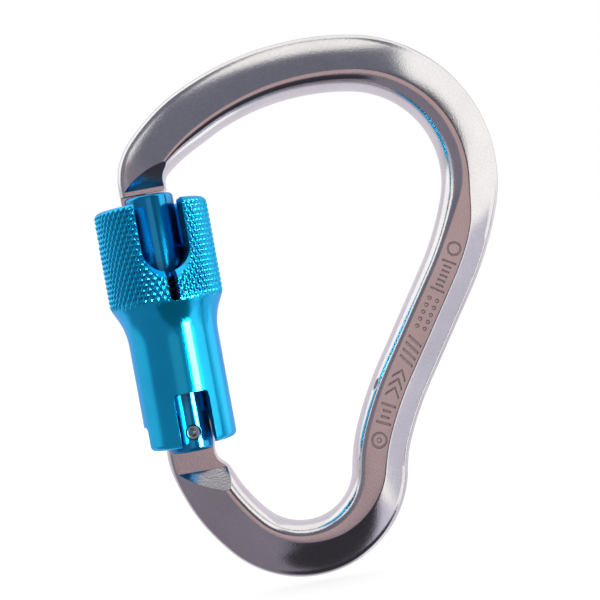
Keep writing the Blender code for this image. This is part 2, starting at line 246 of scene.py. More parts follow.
# Studio: the base colour, then soft lights and dark cards laid over it in turn. Each is
# around, off (see toward), the angles where it starts and ends to fade, and its colour.
STUDIO_BASE = (0.24, 0.215, 0.265)
STUDIO_LOBES = (
    # pale room behind the object
    (0, 180, 62, 84, (0.78, 0.73, 0.81)),
    # grey of the upper left
    (110, 52, 30, 45, (0.175, 0.178, 0.225)),
    # boxes at the left and above
    (182, 98, 20, 32, (0.62, 0.64, 0.66)),
    (100, 100, 33, 36.5, (1.15, 1.12, 1.1)),
    (150, 102, 30, 34, (1.25, 1.25, 1.25)),
    # boxes at the lower right and the right
    (325, 98, 20, 30, (0.75, 0.72, 0.85)),
    (20, 84, 46, 53, (1.18, 1.16, 1.14)),
    (345, 98, 12, 22, (0.66, 0.63, 0.74)),
    # dark cards beside the camera
    (352, 27, 13, 20, (0.13, 0.12, 0.15)),
    (38, 36, 21, 27, (0.11, 0.105, 0.13)),
    (347, 46, 12, 17, (0.12, 0.11, 0.14)),
    # black cards below
    (300, 52, 26, 32, (0.05, 0.045, 0.06)),
    (275, 62, 12, 13.5, (0.04, 0.036, 0.045)),
    (286, 64, 15, 17, (0.04, 0.036, 0.045)),
    (303, 64, 15, 17, (0.04, 0.036, 0.045)),
    # a small light behind the lower end, and a warm one round the camera for the crest
    (310, 116, 7, 13, (1.25, 1.25, 1.25)),
    (30, 5, 10, 17, (0.56, 0.4, 0.4)),
)
WHITE = (1.0, 1.0, 1.0)

# Strip light, in metres and watts
STRIP_SIZE = (0.12, 0.18)
STRIP_POWER = 2.1
STRIP_TARGET = (-29.0, 0.0, -10.0)
STRIP_OFFSET = (0.279, -0.286, -0.07)

# Floor, in metres
FLOOR_GAP = 0.0012
FLOOR_R = 1.6
FLOOR_SIDES = 96
FLOOR_GLOW = 0.82

# Camera
CAMERA_AT = (-3.0, -260.0, 1.7)
LENS = 78.0


# ---------------------------------------------------------------- meshes


def mesh_object(name, points, faces):
    """An object from points in millimetres, with its faces turned outwards."""
    mesh = bpy.data.meshes.new(name)
    world = (np.asarray(points, float) + np.array(CENTRE)) * MM
    mesh.from_pydata(world.tolist(), [], faces)
    bm = bmesh.new()
    bm.from_mesh(mesh)
    bmesh.ops.recalc_face_normals(bm, faces=bm.faces)
    bm.to_mesh(mesh)
    bm.free()
    obj = bpy.data.objects.new(name, mesh)
    bpy.context.scene.collection.objects.link(obj)
    return obj


def shape(obj, steps):
    """Runs (operation, other) Booleans on obj, keeps the result and removes the others."""
    for operation, other in steps:
        mod = obj.modifiers.new(other.name, "BOOLEAN")
        mod.operation = operation
        mod.solver = "EXACT"
        mod.object = other
    bpy.context.view_layer.update()
    graph = bpy.context.evaluated_depsgraph_get()
    made = bpy.data.meshes.new_from_object(obj.evaluated_get(graph))
    obj.modifiers.clear()
    old = obj.data
    obj.data = made
    bpy.data.meshes.remove(old)
    made.name = obj.name
    for _, other in steps:
        bpy.data.objects.remove(other, do_unlink=True)


def tidy(obj, angle):
    """Merges stray points, shades smooth and keeps edges above the angle sharp."""
    bm = bmesh.new()
    bm.from_mesh(obj.data)
    bmesh.ops.remove_doubles(bm, verts=bm.verts, dist=MERGE)
    bmesh.ops.dissolve_degenerate(bm, edges=bm.edges, dist=COLLAPSE)
    bm.to_mesh(obj.data)
    bm.free()
    for poly in obj.data.polygons:
        poly.use_smooth = True
    obj.data.set_sharp_from_angle(angle=math.radians(angle))


def capped_faces(count, base=0):
    """Two end faces and the sides between two loops of count points each."""
    faces = [
        tuple(range(base, base + count)),
        tuple(range(base + 2 * count - 1, base + count - 1, -1)),
    ]
    for i in range(base, base + count):
        j = base + (i - base + 1) % count
        faces.append((i, j, count + j, count + i))
    return faces


def prism(name, outline, low, high, axis="Y"):
    """An outline drawn out along an axis between two levels."""
    points = []
    for level in (low, high):
        for a, b in outline:
            points.append((a, level, b) if axis == "Y" else (level, a, b))
    return mesh_object(name, points, capped_faces(len(outline)))


def block(name, x, y, z):
    """A box between two values on each axis."""
    outline = ((x[0], z[0]), (x[1], z[0]), (x[1], z[1]), (x[0], z[1]))
    return prism(name, outline, y[0], y[1])


def ring_faces(rows, count, closed_rows):
    """The faces between rows of count points, each row a closed ring."""
    faces = []
    last = rows if closed_rows else rows - 1
    for i in range(last):
        k = (i + 1) % rows
        for j in range(count):
            m = (j + 1) % count
            faces.append((i * count + j, i * count + m, k * count + m, k * count + j))
    return faces


def tube_faces(rows, count):
    """Rows of count points joined to a tube with both ends closed."""
    faces = ring_faces(rows, count, False)
    faces.append(tuple(range(count)))
    faces.append(tuple((rows - 1) * count + j for j in range(count)))
    return faces


def turned(name, profile, segments, axis="Z", centre=(0.0, 0.0, 0.0)):
    """A closed (radius, height) profile turned round an axis. Radius 0 is allowed at its ends."""
    solid = profile[0][0] == 0.0
    rows = profile[1:-1] if solid else profile
    points = []
    for r, h in rows:
        for j in range(segments):
            a = 2 * math.pi * (j + 0.5) / segments
            points.append((r * math.cos(a), r * math.sin(a), h))
    faces = ring_faces(len(rows), segments, not solid)
    if solid:
        for end, first in ((profile[0], 0), (profile[-1], (len(rows) - 1) * segments)):
            tip = len(points)
            points.append((0.0, 0.0, end[1]))
            for j in range(segments):
                faces.append((tip, first + j, first + (j + 1) % segments))
    if axis == "Y":
        points = [(x, h, y) for x, y, h in points]
    points = [tuple(p[i] + centre[i] for i in range(3)) for p in points]
    return mesh_object(name, points, faces)


def arc(centre, radius, first, last, steps):
    """Points round a centre, between two angles in degrees."""
    found = []
    for i in range(steps + 1):
        a = math.radians(first + (last - first) * i / steps)
        found.append((centre[0] + radius * math.cos(a), centre[1] + radius * math.sin(a)))
    return found


def spline(stops, step):
    """A smooth (radius, height) curve through the stops, sampled about every step."""
    ends = [stops[0]] + list(stops) + [stops[-1]]
    found = []
    for a, b, c, d in zip(ends, ends[1:], ends[2:], ends[3:]):
        count = max(2, int(abs(c[1] - b[1]) / step))
        for i in range(count):
            t = i / count
            values = []
            for k in (0, 1):
                first = (c[k] - a[k]) / 2
                second = (d[k] - b[k]) / 2
                jump = c[k] - b[k]
                values.append(
                    b[k]
                    + first * t
                    + (3 * jump - 2 * first - second) * t * t
                    + (first + second - 2 * jump) * t * t * t
                )
            found.append(tuple(values))
    found.append(stops[-1])
    return found


# ---------------------------------------------------------------- body


def body_length():
    total = 0.0
    for radius, size in BODY_ARCS:
        total += abs(radius) * math.radians(size) if radius else size
    return total


def body_point(distance):
    """The centreline's x, z and heading at a distance from its start."""
    x, z = BODY_START
    heading = math.radians(BODY_HEADING)
    for radius, size in BODY_ARCS:
        length = abs(radius) * math.radians(size) if radius else size
        run = min(distance, length)
        if radius:
            turn = run / radius
            x += radius * (math.sin(heading + turn) - math.sin(heading))
            z -= radius * (math.cos(heading + turn) - math.cos(heading))
            heading += turn
        else:
            x += run * math.cos(heading)
            z += run * math.sin(heading)
        distance -= run
        if distance <= 1e-9:
            break
    return x, z, heading


def table_at(table, distance):
    """The two values of a table at a distance, on a smooth curve through its rows."""
    for k in range(len(table) - 1):
        if distance <= table[k + 1][0]:
            break
    rows = [table[max(0, k - 1)], table[k], table[k + 1], table[min(len(table) - 1, k + 2)]]
    span = rows[2][0] - rows[1][0]
    t = min(1.0, (distance - rows[1][0]) / span)
    found = []
    for i in (1, 2):
        first = (rows[2][i] - rows[0][i]) / (rows[2][0] - rows[0][0]) * span
        second = (rows[3][i] - rows[1][i]) / (rows[3][0] - rows[1][0]) * span
        jump = rows[2][i] - rows[1][i]
        bend = (3 * jump - 2 * first - second) * t * t
        found.append(rows[1][i] + first * t + bend + (first + second - 2 * jump) * t ** 3)
    return found


def bevel_bulge(width):
    """Wide bevels are crowned and narrow ones are nearly flat."""
    return BEVEL_CROWN * (width / WIDE_BEVEL) ** 2.5


def section(distance):
    """Points (across, height) of the front half, from the outer rim to the inner crown."""
    outside, inside = table_at(EDGES, distance)
    outer, inner = table_at(CREST, distance)
    points = []
    for angle in RIM_ANGLES:
        a = math.radians(angle)
        points.append((-outside + RIM_DEPTH * (1 - math.cos(a)), RIM_HALF * math.sin(a)))
    start, low = points[-1]
    width = outer - start
    bulge = bevel_bulge(width)
    ease = min(CREST_EASE, 0.3 * (inner - outer))

    def bevel(share):
        height = low + share * (CREST_HALF - low) + bulge * 4 * share * (1 - share)
        return (start + share * width, height)

    last = 1.0 - ease / width
    for i in range(1, BEVEL_STEPS + 1):
        points.append(bevel(last * i / BEVEL_STEPS))
    first = points[-1]
    for i in range(1, EASE_STEPS + 1):
        t = i / EASE_STEPS
        across = (1 - t) ** 2 * first[0] + 2 * t * (1 - t) * outer + t * t * (outer + ease)
        height = (1 - t) ** 2 * first[1] + (1 - (1 - t) ** 2) * CREST_HALF
        points.append((across, height))
    for angle in INNER_ANGLES:
        a = math.radians(angle)
        across = inner + (inside - inner) * math.sin(a)
        points.append((across, CREST_HALF * math.cos(a)))
    return points


def to_body(distance, across, depth):
    """A place on the bar, by distance along it, across it inwards and towards the front."""
    x, z, heading = body_point(distance)
    return (x - across * math.sin(heading), -depth, z + across * math.cos(heading))


def body_sweep():
    """The section carried along the centreline."""
    length = body_length()
    count = int(round(length / STATION_STEP))
    points = []
    for i in range(count + 1):
        distance = length * i / count
        x, z, heading = body_point(distance)
        front = section(distance)
        outside, inside = table_at(EDGES, distance)
        ring = [(-outside, 0.0)] + front + [(inside, 0.0)]
        ring += [(n, -h) for n, h in reversed(front)]
        for n, h in ring:
            points.append((x - n * math.sin(heading), -h, z + n * math.cos(heading)))
    return mesh_object("body", points, tube_faces(count + 1, len(ring)))


def knuckle_point(angle):
    """The tang's round end, with the rising cam that lifts the plunger."""
    for first, second in zip(CAM_STOPS, CAM_STOPS[1:]):
        if angle <= second[0]:
            t = (angle - first[0]) / (second[0] - first[0])
            r = first[1] + t * (second[1] - first[1])
            break
    a = math.radians(angle)
    return PIN_X + r * math.cos(a), r * math.sin(a)


def tang_block():
    knuckle = [knuckle_point(angle) for angle in range(0, 181, 3)]
    return prism("tang_block", TANG_HEEL + knuckle + TANG_BACK, -BLANK_HALF, BLANK_HALF)


def nose_cut():
    """What is cut away for the gate, so that the nose and its key are left."""
    top = NOSE_UNDERSIDE_Z
    tip = KEY_TIP_Z
    outline = [(CUT_REACH, top + UNDERSIDE_R), (CUT_REACH, CUT_LOW_Z)]
    outline += [(-CUT_REACH, CUT_LOW_Z), (-CUT_REACH, tip + KEY_HEEL_R)]
    outline += arc((NOSE_OUTER_X + KEY_HEEL_R, tip + KEY_HEEL_R), KEY_HEEL_R, 180, 270, 12)
    outline += arc((KEY_TIP_X - KEY_TIP_R, tip + KEY_TIP_R), KEY_TIP_R, 270, 400, 14)
    outline += [(NOSE_INNER_X + 0.9, KEY_NECK_Z + 0.3), (NOSE_INNER_X, KEY_NECK_Z + 1.4)]
    outline += [(NOSE_INNER_X, top)]
    outline += arc((UNDERSIDE_END_X, top + UNDERSIDE_R), UNDERSIDE_R, 270, 360, 8)
    return prism("nose_cut", outline, -CUT_HALF, CUT_HALF)


def end_milling(name, side):
    """The flats milled on one side of both ends, with their sloping run-outs."""
    deep = CREST_HALF + MILL_CLEAR
    run = (deep - TANG_HALF) / MILL_SLOPE
    low = TANG_SHOULDER_Z
    high = NOSE_SHOULDER_Z
    outline = [
        (side * TANG_HALF, low),
        (side * TANG_HALF, high),
        (side * deep, high + run),
        (side * deep, low - run),
    ]
    return prism(name, outline, -CUT_REACH, CUT_REACH, "X")


def key_groove(name, side):
    """The groove that leaves the key's thin neck."""
    outline = [
        (side * KEY_NECK_HALF, KEY_NECK_Z + GROOVE_CHAMFER),
        (side * KEY_NECK_HALF, NOSE_UNDERSIDE_Z),
        (side * GROOVE_REACH, NOSE_UNDERSIDE_Z),
        (side * GROOVE_REACH, KEY_NECK_Z),
        (side * GROOVE_SHELF_HALF, KEY_NECK_Z),
    ]
    return prism(name, outline, -CUT_REACH, CUT_REACH, "X")


def mark_loop(outline):
    """An (along, across) outline as (x, z), its straight sides following the panel's bend."""
    found = []
    for first, second in zip(outline, outline[1:] + outline[:1]):
        count = max(1, int(math.dist(first, second) / MARK_STEP))
        for i in range(count):
            t = i / count
            along = first[0] + t * (second[0] - first[0])
            across = first[1] + t * (second[1] - first[1])
            found.append(to_body(along, across, 0.0)[::2])
    return found


def bar(along, across, length, width):
    a, b = along - length / 2, along + length / 2
    c, d = across - width / 2, across + width / 2
    return [(a, c), (b, c), (b, d), (a, d)]


def dot(along, across, radius):
    return arc((along, across), radius, 0, 337.5, 15)


def hoop(along, radius, width):
    """The outer and inner outline of a ring."""
    centre = (along, PANEL_MIDDLE)
    return arc(centre, radius, 0, 345, 23), arc(centre, radius - width, 0, 345, 23)


def chevron(along, across, size, width):
    tip = along + size / 2
    back = along - size / 2
    half = size * 0.8
    return [
        (tip, across),
        (back, across + half),
        (back - width, across + half),
        (tip - width, across),
        (back - width, across - half),
        (back, across - half),
    ]


def hatch(along, across, size, lean, width):
    """One leaning stroke."""
    half = size / 2
    a, b = along - lean / 2, along + lean / 2
    return [
        (a, across - half),
        (a + width, across - half),
        (b + width, across + half),
        (b, across + half),
    ]


def mark_outlines():
    """Plain ornaments in a row along the panel. Nothing here is lettering."""
    middle = PANEL_MIDDLE
    solids = [dot(63.6, middle, 0.5)]
    for i in range(4):
        solids.append(bar(67.0 + 1.2 * i, middle, 0.42, 3.0 if i % 3 == 0 else 1.7))
    for i in range(3):
        solids.append(chevron(73.6 + 1.8 * i, middle, 1.7, 0.55))
    for i in range(4):
        solids.append(hatch(79.6 + 1.4 * i, middle, 3.1, 1.1, 0.5))
    for i in range(5):
        for side in (-0.8, 0.8):
            solids.append(dot(87.0 + 1.5 * i, middle + side, 0.4))
    for i in range(7):
        solids.append(bar(95.0 + 1.0 * i, middle, 0.38, 2.9 if i in (0, 6) else 1.6))
    return solids, [hoop(63.6, 1.6, 0.4), hoop(103.8, 1.45, 0.4)]


def panel_marks():
    """One cutter for the engraved rings, dots, ticks, chevrons, strokes and bars."""
    solids, rings = mark_outlines()
    low, high = -CREST_HALF - 0.4, -CREST_HALF + MARK_DEPTH
    points = []
    faces = []
    for outline in solids:
        loop = mark_loop(outline)
        faces += capped_faces(len(loop), len(points))
        points += [(x, level, z) for level in (low, high) for x, z in loop]
    for ring in rings:
        base = len(points)
        outer, inner = ([to_body(a, c, 0.0)[::2] for a, c in loop] for loop in ring)
        for loop, level in ((outer, low), (outer, high), (inner, high), (inner, low)):
            points += [(x, level, z) for x, z in loop]
        found = ring_faces(4, len(outer), True)
        faces += [tuple(base + k for k in face) for face in found]
    return mesh_object("panel_marks", points, faces)


def dimple():
    """The small oval punch mark on the spine's inner face, drawn out along the bar."""
    profile = [(0.0, -DIMPLE_R)] + arc((0.0, 0.0), DIMPLE_R, -75, 75, 10) + [(0.0, DIMPLE_R)]
    cutter = turned("dimple", profile, 20, "Y")
    heading = body_point(DIMPLE_AT[0])[2]
    along = Vector((math.cos(heading), 0.0, math.sin(heading)))
    middle = Vector(to_body(*DIMPLE_AT))
    shift = Vector(CENTRE)
    for vertex in cutter.data.vertices:
        offset = vertex.co / MM - shift
        offset += along * (offset.dot(along) * DIMPLE_STRETCH)
        vertex.co = (offset + middle + shift) * MM
    return cutter


def pin_hole(name, radius, reach):
    """A cutter for a round hole on the hinge pin's axis."""
    profile = ((0.0, -reach), (radius, -reach), (radius, reach), (0.0, reach))
    return turned(name, profile, 48, "Y", (PIN_X, 0.0, 0.0))


def make_body():
    body = body_sweep()
    steps = [
        ("DIFFERENCE", nose_cut()),
        ("UNION", tang_block()),
        ("DIFFERENCE", end_milling("flats_front", -1)),
        ("DIFFERENCE", end_milling("flats_back", 1)),
        ("DIFFERENCE", key_groove("groove_front", -1)),
        ("DIFFERENCE", key_groove("groove_back", 1)),
        ("DIFFERENCE", pin_hole("tang_bore", TANG_BORE_R, 6.0)),
        ("DIFFERENCE", dimple()),
        ("DIFFERENCE", panel_marks()),
    ]
    shape(body, steps)
    tidy(body, 21)
    return body


# ---------------------------------------------------------------- gate and its parts


def make_gate():
    """The tube, its fork round the tang, and the keyway that takes the nose."""
    low, high = RING_GROOVE
    bottom = GATE_BOTTOM_ROUND
    top = GATE_TOP_ROUND
    profile = [(0.0, GATE_BOTTOM_Z), (2.0, GATE_BOTTOM_Z)]
    profile += arc((GATE_R - bottom, GATE_BOTTOM_Z + bottom), bottom, -90, 0, 8)
    profile += [(GATE_R, 10.0), (GATE_R, 20.0)]
    profile += [(GATE_R, low), (RING_GROOVE_R, low), (RING_GROOVE_R, high), (GATE_R, high)]
    profile += [(GATE_R, 38.0)]
    profile += arc((GATE_R - top, GATE_TOP_Z - top), top, 0, 80, 8)
    profile += [(GATE_R - 1.1, GATE_TOP_Z), (0.0, GATE_TOP_Z)]
    gate = turned("gate", profile, 144)
    bore = ((0.0, 5.0), (SPRING_BORE_R, 5.0), (SPRING_BORE_R, 30.0), (0.0, 31.2))
    cutters = [
        block("fork", (-GATE_CUT, GATE_CUT), (-2.5, 2.5), (-6, 7.0)),
        turned("spring_bore", bore, 48),
        block("key_chamber", (-GATE_CUT, 3.4), (-2.55, 2.55), (41.1, 45.2)),
        block("key_throat", (-GATE_CUT, 2.4), (-1.6, 1.6), (44.2, 50)),
        pin_hole("cheek_bore", CHEEK_BORE_R, 7.0),
    ]
    shape(gate, [("DIFFERENCE", cutter) for cutter in cutters])
    tidy(gate, 28)
    return gate


def make_pin():
    """A semi-tubular rivet whose ends are rolled over round their hollows."""
    half = PIN_HALF
    floor = half - PIN_HOLLOW
    low = [(0.0, -floor + 0.25), (0.5, -floor + 0.05), (0.74, -floor - 0.1)]
    low += [(0.78, -half + 0.3)]
    low += [(r, -h) for r, h in arc((ROLL_CENTRE_R, half - ROLL_R), ROLL_R, 180, 0, 10)]
    low += [(PIN_R, -half + 0.8), (PIN_R, -2.0)]
    high = [(r, -h) for r, h in reversed(low)]
    pin = turned("pin", low + high, 64, "Y", (PIN_X, 0.0, 0.0))
    tidy(pin, 35)
    return pin


def make_plunger():
    """A turned plunger: a round nose on a thin stem, then the head that the spring pushes."""
    nose = PLUNGER_NOSE_R
    profile = [(0.0, PLUNGER_TIP_Z)]
    for angle in range(-80, 1, 10):
        a = math.radians(angle)
        profile.append((nose * math.cos(a), PLUNGER_TIP_Z + nose + nose * math.sin(a)))
    profile += [(nose, 7.6), (2.0, 8.1)]
    profile += arc((2.0, 8.3), 0.2, -60, 0, 3)
    profile += arc((1.95, 11.15), 0.25, 0, 90, 5)
    profile += [(0.0, 11.4)]
    plunger = turned("plunger", profile, 64)
    tidy(plunger, 30)
    return plunger


def coil(name, radius, wire, low, high, turns):
    """A round-wire compression spring with two flattened end turns."""
    total = int(turns * COIL_STEPS)
    closed = END_TURNS * COIL_STEPS
    weights = []
    for i in range(total):
        near = min(i, total - 1 - i) / closed
        weights.append(1.0 if near > 1 else END_PITCH + (1.0 - END_PITCH) * near)
    scale = (high - low - 2 * wire) / sum(weights)
    points = []
    z = low + wire
    for i in range(total + 1):
        a = 2 * math.pi * i / COIL_STEPS
        for j in range(WIRE_SIDES):
            b = 2 * math.pi * j / WIRE_SIDES
            r = radius + wire * math.cos(b)
            points.append((r * math.cos(a), r * math.sin(a), z + wire * math.sin(b)))
        if i < total:
            z += weights[i] * scale
    obj = mesh_object(name, points, tube_faces(total + 1, WIRE_SIDES))
    tidy(obj, 50)
    return obj


def washer(name, radii, heights, edge=0.12):
    """A flat ring with rounded edges."""
    low, high = heights
    inner, outer = radii
    profile = arc((outer - edge, low + edge), edge, -90, 0, 4)
    profile += arc((outer - edge, high - edge), edge, 0, 90, 4)
    profile += arc((inner + edge, high - edge), edge, 90, 180, 4)
    profile += arc((inner + edge, low + edge), edge, 180, 270, 4)
    return turned(name, profile, 96)


def make_washer(name, radii, heights):
    piece = washer(name, radii, heights)
    tidy(piece, 30)
    return piece


def make_ring():
    """The snap ring in the gate's groove, with its gap."""
    ring = washer("snap_ring", (4.6, 6.4), (29.2, 29.95), 0.15)
    shape(ring, [("DIFFERENCE", block("ring_gap", (0, 9), (-1.6, 1.6), (28, 31)))])
    tidy(ring, 30)
    return ring


# ---------------------------------------------------------------- sleeve


def saw(value):
    """A triangular wave: 0 at whole numbers, 1 half way between."""
    return 1.0 - abs(2.0 * (value - math.floor(value)) - 1.0)


def knurl_radius(angle, z):
    """The grip's radius where two families of slanted grooves leave diamonds."""
    across = KNURL_STARTS * angle / (2 * math.pi)
    along = z / KNURL_PITCH
    height = min(1.0, KNURL_FLANK * min(saw(across + along), saw(across - along)))
    return GRIP_R - KNURL_DEPTH * (1.0 - height)


def sleeve_blank():
    """The sleeve before its slots: foot, barrel, flare, knurled grip and the bores inside."""
    low = SLEEVE_BOTTOM_Z
    top = SLEEVE_TOP_Z
    segments = KNURL_STARTS * 10
    outer = [(END_BORE_R + 0.5, low), (7.2, low)]
    outer += arc((SLEEVE_R - FOOT_ROUND, low + FOOT_ROUND), FOOT_ROUND, -90, 0, 10)
    outer += [(SLEEVE_R, z) for z in BARREL_ROWS]
    outer += spline(FLARE, FLARE_STEP)
    z = GRIP_LOW
    while z < top - GRIP_ROUND:
        outer.append((GRIP_R + 0.1, z))
        z += KNURL_PITCH / 10
    outer += arc((GRIP_R - GRIP_ROUND, top - 1.35), GRIP_ROUND, 0, 88, 14)
    outer[-1] = (outer[-1][0], top)
    outer = [(r, min(z, top)) for r, z in outer]
    room_low, room_high = SPRING_ROOM
    inner = [(END_BORE_R + 0.3, top)]
    inner += [(END_BORE_R, top - 0.3), (END_BORE_R, 37.2), (SLEEVE_BORE_R, 36.6)]
    inner += [(SLEEVE_BORE_R, room_high), (SPRING_ROOM_R, room_high)]
    inner += [(SPRING_ROOM_R, room_low), (SLEEVE_BORE_R, room_low)]
    inner += [(SLEEVE_BORE_R, 4.2), (END_BORE_R, 3.6), (END_BORE_R, low + 0.5)]
    points = []
    for r, z in outer + inner:
        knurled = z > KNURL_LOW and r > KNURL_INSIDE_R
        for j in range(segments):
            a = 2 * math.pi * (j + 0.5) / segments
            radius = min(r, knurl_radius(a, z)) if knurled else r
            points.append((radius * math.cos(a), radius * math.sin(a), z))
    faces = ring_faces(len(outer) + len(inner), segments, True)
    return mesh_object("sleeve", points, faces)


def turn_cutter(cutter, azimuth):
    """Turns a cutter made on the front about the gate's axis."""
    axis = Matrix.Translation((CENTRE[0] * MM, 0.0, 0.0))
    turn = Matrix.Rotation(math.radians(azimuth), 4, "Z")
    cutter.data.transform(axis @ turn @ axis.inverted())
    return cutter


def window(name, azimuth, width, low, high):
    """A cutter with square lower and rounded upper corners."""
    half = width / 2
    corner = WINDOW_CORNER
    outline = [(-half, low), (half, low)]
    outline += arc((half - corner, high - corner), corner, 0, 90, 10)
    outline += arc((corner - half, high - corner), corner, 90, 180, 10)
    return turn_cutter(prism(name, outline, -WALL_REACH, 0.0), azimuth)


def slot_outline(half, bottom_centre, top):
    """A slot with a round lower end."""
    outline = arc((0.0, bottom_centre), half, 180, 360, 48)
    return outline + [(half, top), (-half, top)]


def round_slot(name, azimuth, width, bottom, top):
    half = width / 2
    outline = slot_outline(half, bottom + half, top)
    return turn_cutter(prism(name, outline, -WALL_REACH, 0.0), azimuth)


def slot_chamfer(name, azimuth, width, bottom, top, start):
    """A cutter, flared at 45 degrees, that breaks a slot's outer edge from a radius outwards."""
    half = width / 2
    reach = 13.0
    inset = 0.3
    near = slot_outline(half - inset, bottom + half, top)
    far = slot_outline(half + (reach - start), bottom + half, top)
    points = [(x, inset - start, z) for x, z in near] + [(x, -reach, z) for x, z in far]
    return turn_cutter(mesh_object(name, points, capped_faces(len(near))), azimuth)


def make_sleeve():
    sleeve = sleeve_blank()
    below = SLEEVE_BOTTOM_Z - 1.0
    above = SLEEVE_TOP_Z + 1.0
    width, bottom = GRIP_SLOT
    wide, top = WINDOW
    cutters = [
        round_slot("grip_slot", LOCK_AZIMUTH, width, bottom, above),
        slot_chamfer("grip_chamfer", LOCK_AZIMUTH, width, bottom, above, SLOT_EDGE_R),
        round_slot("grip_slit", LOCK_AZIMUTH, *GRIP_SLIT),
        window("front_window", LOCK_AZIMUTH, wide, below, top),
        window("rear_window", LOCK_AZIMUTH + 180, wide, below, top),
        window("outer_cut", OUTER_CUT_AZIMUTH, wide, below, OUTER_CUT_TOP),
        block("relief", (-14, -4), (-2.6, 2.6), (39.5, above)),
    ]
    shape(sleeve, [("DIFFERENCE", cutter) for cutter in cutters])
    tidy(sleeve, 40)
    return sleeve


# ---------------------------------------------------------------- materials


class Nodes:
    """Short calls for wiring a shader."""

    def __init__(self, material):
        self.tree = material.node_tree

    def add(self, kind, inputs=(), **settings):
        node = self.tree.nodes.new(kind)
        for key, value in settings.items():
            setattr(node, key, value)
        for key, value in inputs:
            if isinstance(value, bpy.types.NodeSocket):
                self.tree.links.new(value, node.inputs[key])
            else:
                node.inputs[key].default_value = value
        return node

    def ramp(self, factor, *stops):
        """A colour between two (place, colour) stops."""
        node = self.add("ShaderNodeValToRGB", [("Fac", factor)])
        for element, (place, colour) in zip(node.color_ramp.elements, stops):
            element.position = place
            element.color = (*colour, 1.0)
        return node.outputs["Color"]

    def scale(self, value, low, high):
        """A 0 to 1 value spread from low to high."""
        node = self.add(
            "ShaderNodeMapRange", [("Value", value), ("To Min", low), ("To Max", high)]
        )
        return node.outputs["Result"]

    def times(self, tone, factor):
        """One colour multiplied by another."""
        return self.add(
            "ShaderNodeVectorMath", [(0, tone), (1, factor)], operation="MULTIPLY"
        ).outputs["Vector"]


def metal(
    name,
    light,
    dark,
    roughness,
    rounding,
    grain,
    bump,
    coat=0.0,
    metallic=1.0,
    crease_shade_reach=0.0,
    speckle=0.0,
):
    """Polished metal: blotchy tone, uneven polish, fine tumbling marks, slightly broken edges.

    light and dark are the ends of its tone and roughness is the range of its polish. grain is
    the scale of the marks and bump their strength. rounding and crease_shade_reach are in
    millimetres: the softening of edges, and the reach of the painted shade, an occlusion
    darkening of the base colour in creases, grooves and recesses. coat is the weight of
    the clear layer on dyed metal.
    """
    mat = bpy.data.materials.new(name)
    mat.use_nodes = True
    wire = Nodes(mat)
    shader = mat.node_tree.nodes["Principled BSDF"]
    place = wire.add("ShaderNodeTexCoord").outputs["Object"]
    cloud = wire.add(
        "ShaderNodeTexNoise",
        [("Vector", place), ("Scale", 90.0), ("Detail", 4.0), ("Roughness", 0.55)],
    ).outputs["Fac"]
    speck = wire.add(
        "ShaderNodeTexNoise",
        [("Vector", place), ("Scale", grain), ("Detail", 3.0), ("Roughness", 0.6)],
    ).outputs["Fac"]
    scratch_place = wire.add(
        "ShaderNodeMapping", [("Vector", place), ("Scale", (1.0, 1.0, 0.12))]
    ).outputs["Vector"]
    scratch = wire.add(
        "ShaderNodeTexNoise",
        [("Vector", scratch_place), ("Scale", grain * 1.4), ("Detail", 5.0)],
    ).outputs["Fac"]
    tone = wire.ramp(cloud, (0.35, dark), (0.62, light))
    if speckle:
        grit = wire.scale(speck, 1.0 - 2.0 * speckle, 1.0 + 2.0 * speckle)
        tone = wire.times(tone, grit)
    # Painted shade: ambient occlusion darkens the base colour in creases, grooves and recesses,
    # where shade falls.
    if crease_shade_reach:
        open_share = wire.add(
            "ShaderNodeAmbientOcclusion", [("Distance", crease_shade_reach * MM)], samples=8
        ).outputs["AO"]
        shade = wire.ramp(open_share, (0.5, (0.3, 0.32, 0.34)), (0.9, WHITE))
        tone = wire.times(tone, shade)
    wire.tree.links.new(tone, shader.inputs["Base Color"])
    rough = wire.add(
        "ShaderNodeMath",
        [(0, wire.scale(cloud, *roughness)), (1, wire.scale(speck, -0.03, 0.05))],
        operation="ADD",
    ).outputs["Value"]
    wire.tree.links.new(rough, shader.inputs["Roughness"])
    height = wire.add(
        "ShaderNodeMath",
        [(0, speck), (1, wire.scale(scratch, -0.35, 0.35))],
        operation="ADD",
    ).outputs["Value"]
    soft = wire.add("ShaderNodeBevel", [("Radius", rounding * MM)], samples=6)
    bumped = wire.add(
        "ShaderNodeBump",
        [
            ("Strength", bump),
            ("Distance", 0.02 * MM),
            ("Height", height),
            ("Normal", soft.outputs["Normal"]),
        ],
    )
    wire.tree.links.new(bumped.outputs["Normal"], shader.inputs["Normal"])
    shader.inputs["Metallic"].default_value = metallic
    if coat:
        shader.inputs["Specular IOR Level"].default_value = 0.0
        shader.inputs["Specular Tint"].default_value = (*light, 1.0)
        shader.inputs["Coat Weight"].default_value = coat
        shader.inputs["Coat Roughness"].default_value = 0.08
        wire.tree.links.new(soft.outputs["Normal"], shader.inputs["Coat Normal"])
    return mat


# ---------------------------------------------------------------- light, floor and camera


def picture_axes():
    """The picture's right, its up, and the direction from the object to the camera."""
    right = Vector((math.cos(ROLL), 0.0, -math.sin(ROLL)))
    up = Vector((math.sin(ROLL), 0.0, math.cos(ROLL)))
    return right, up, Vector((0.0, -1.0, 0.0))


def toward(around, off):
    """A direction seen from the object.

    It is 'off' degrees from the camera and 'around' degrees from the picture's right.
    """
    a = math.radians(around)
    o = math.radians(off)
    right, up, back = picture_axes()
    level = right * math.cos(a) * math.sin(o) + up * math.sin(a) * math.sin(o)
    return level + back * math.cos(o)


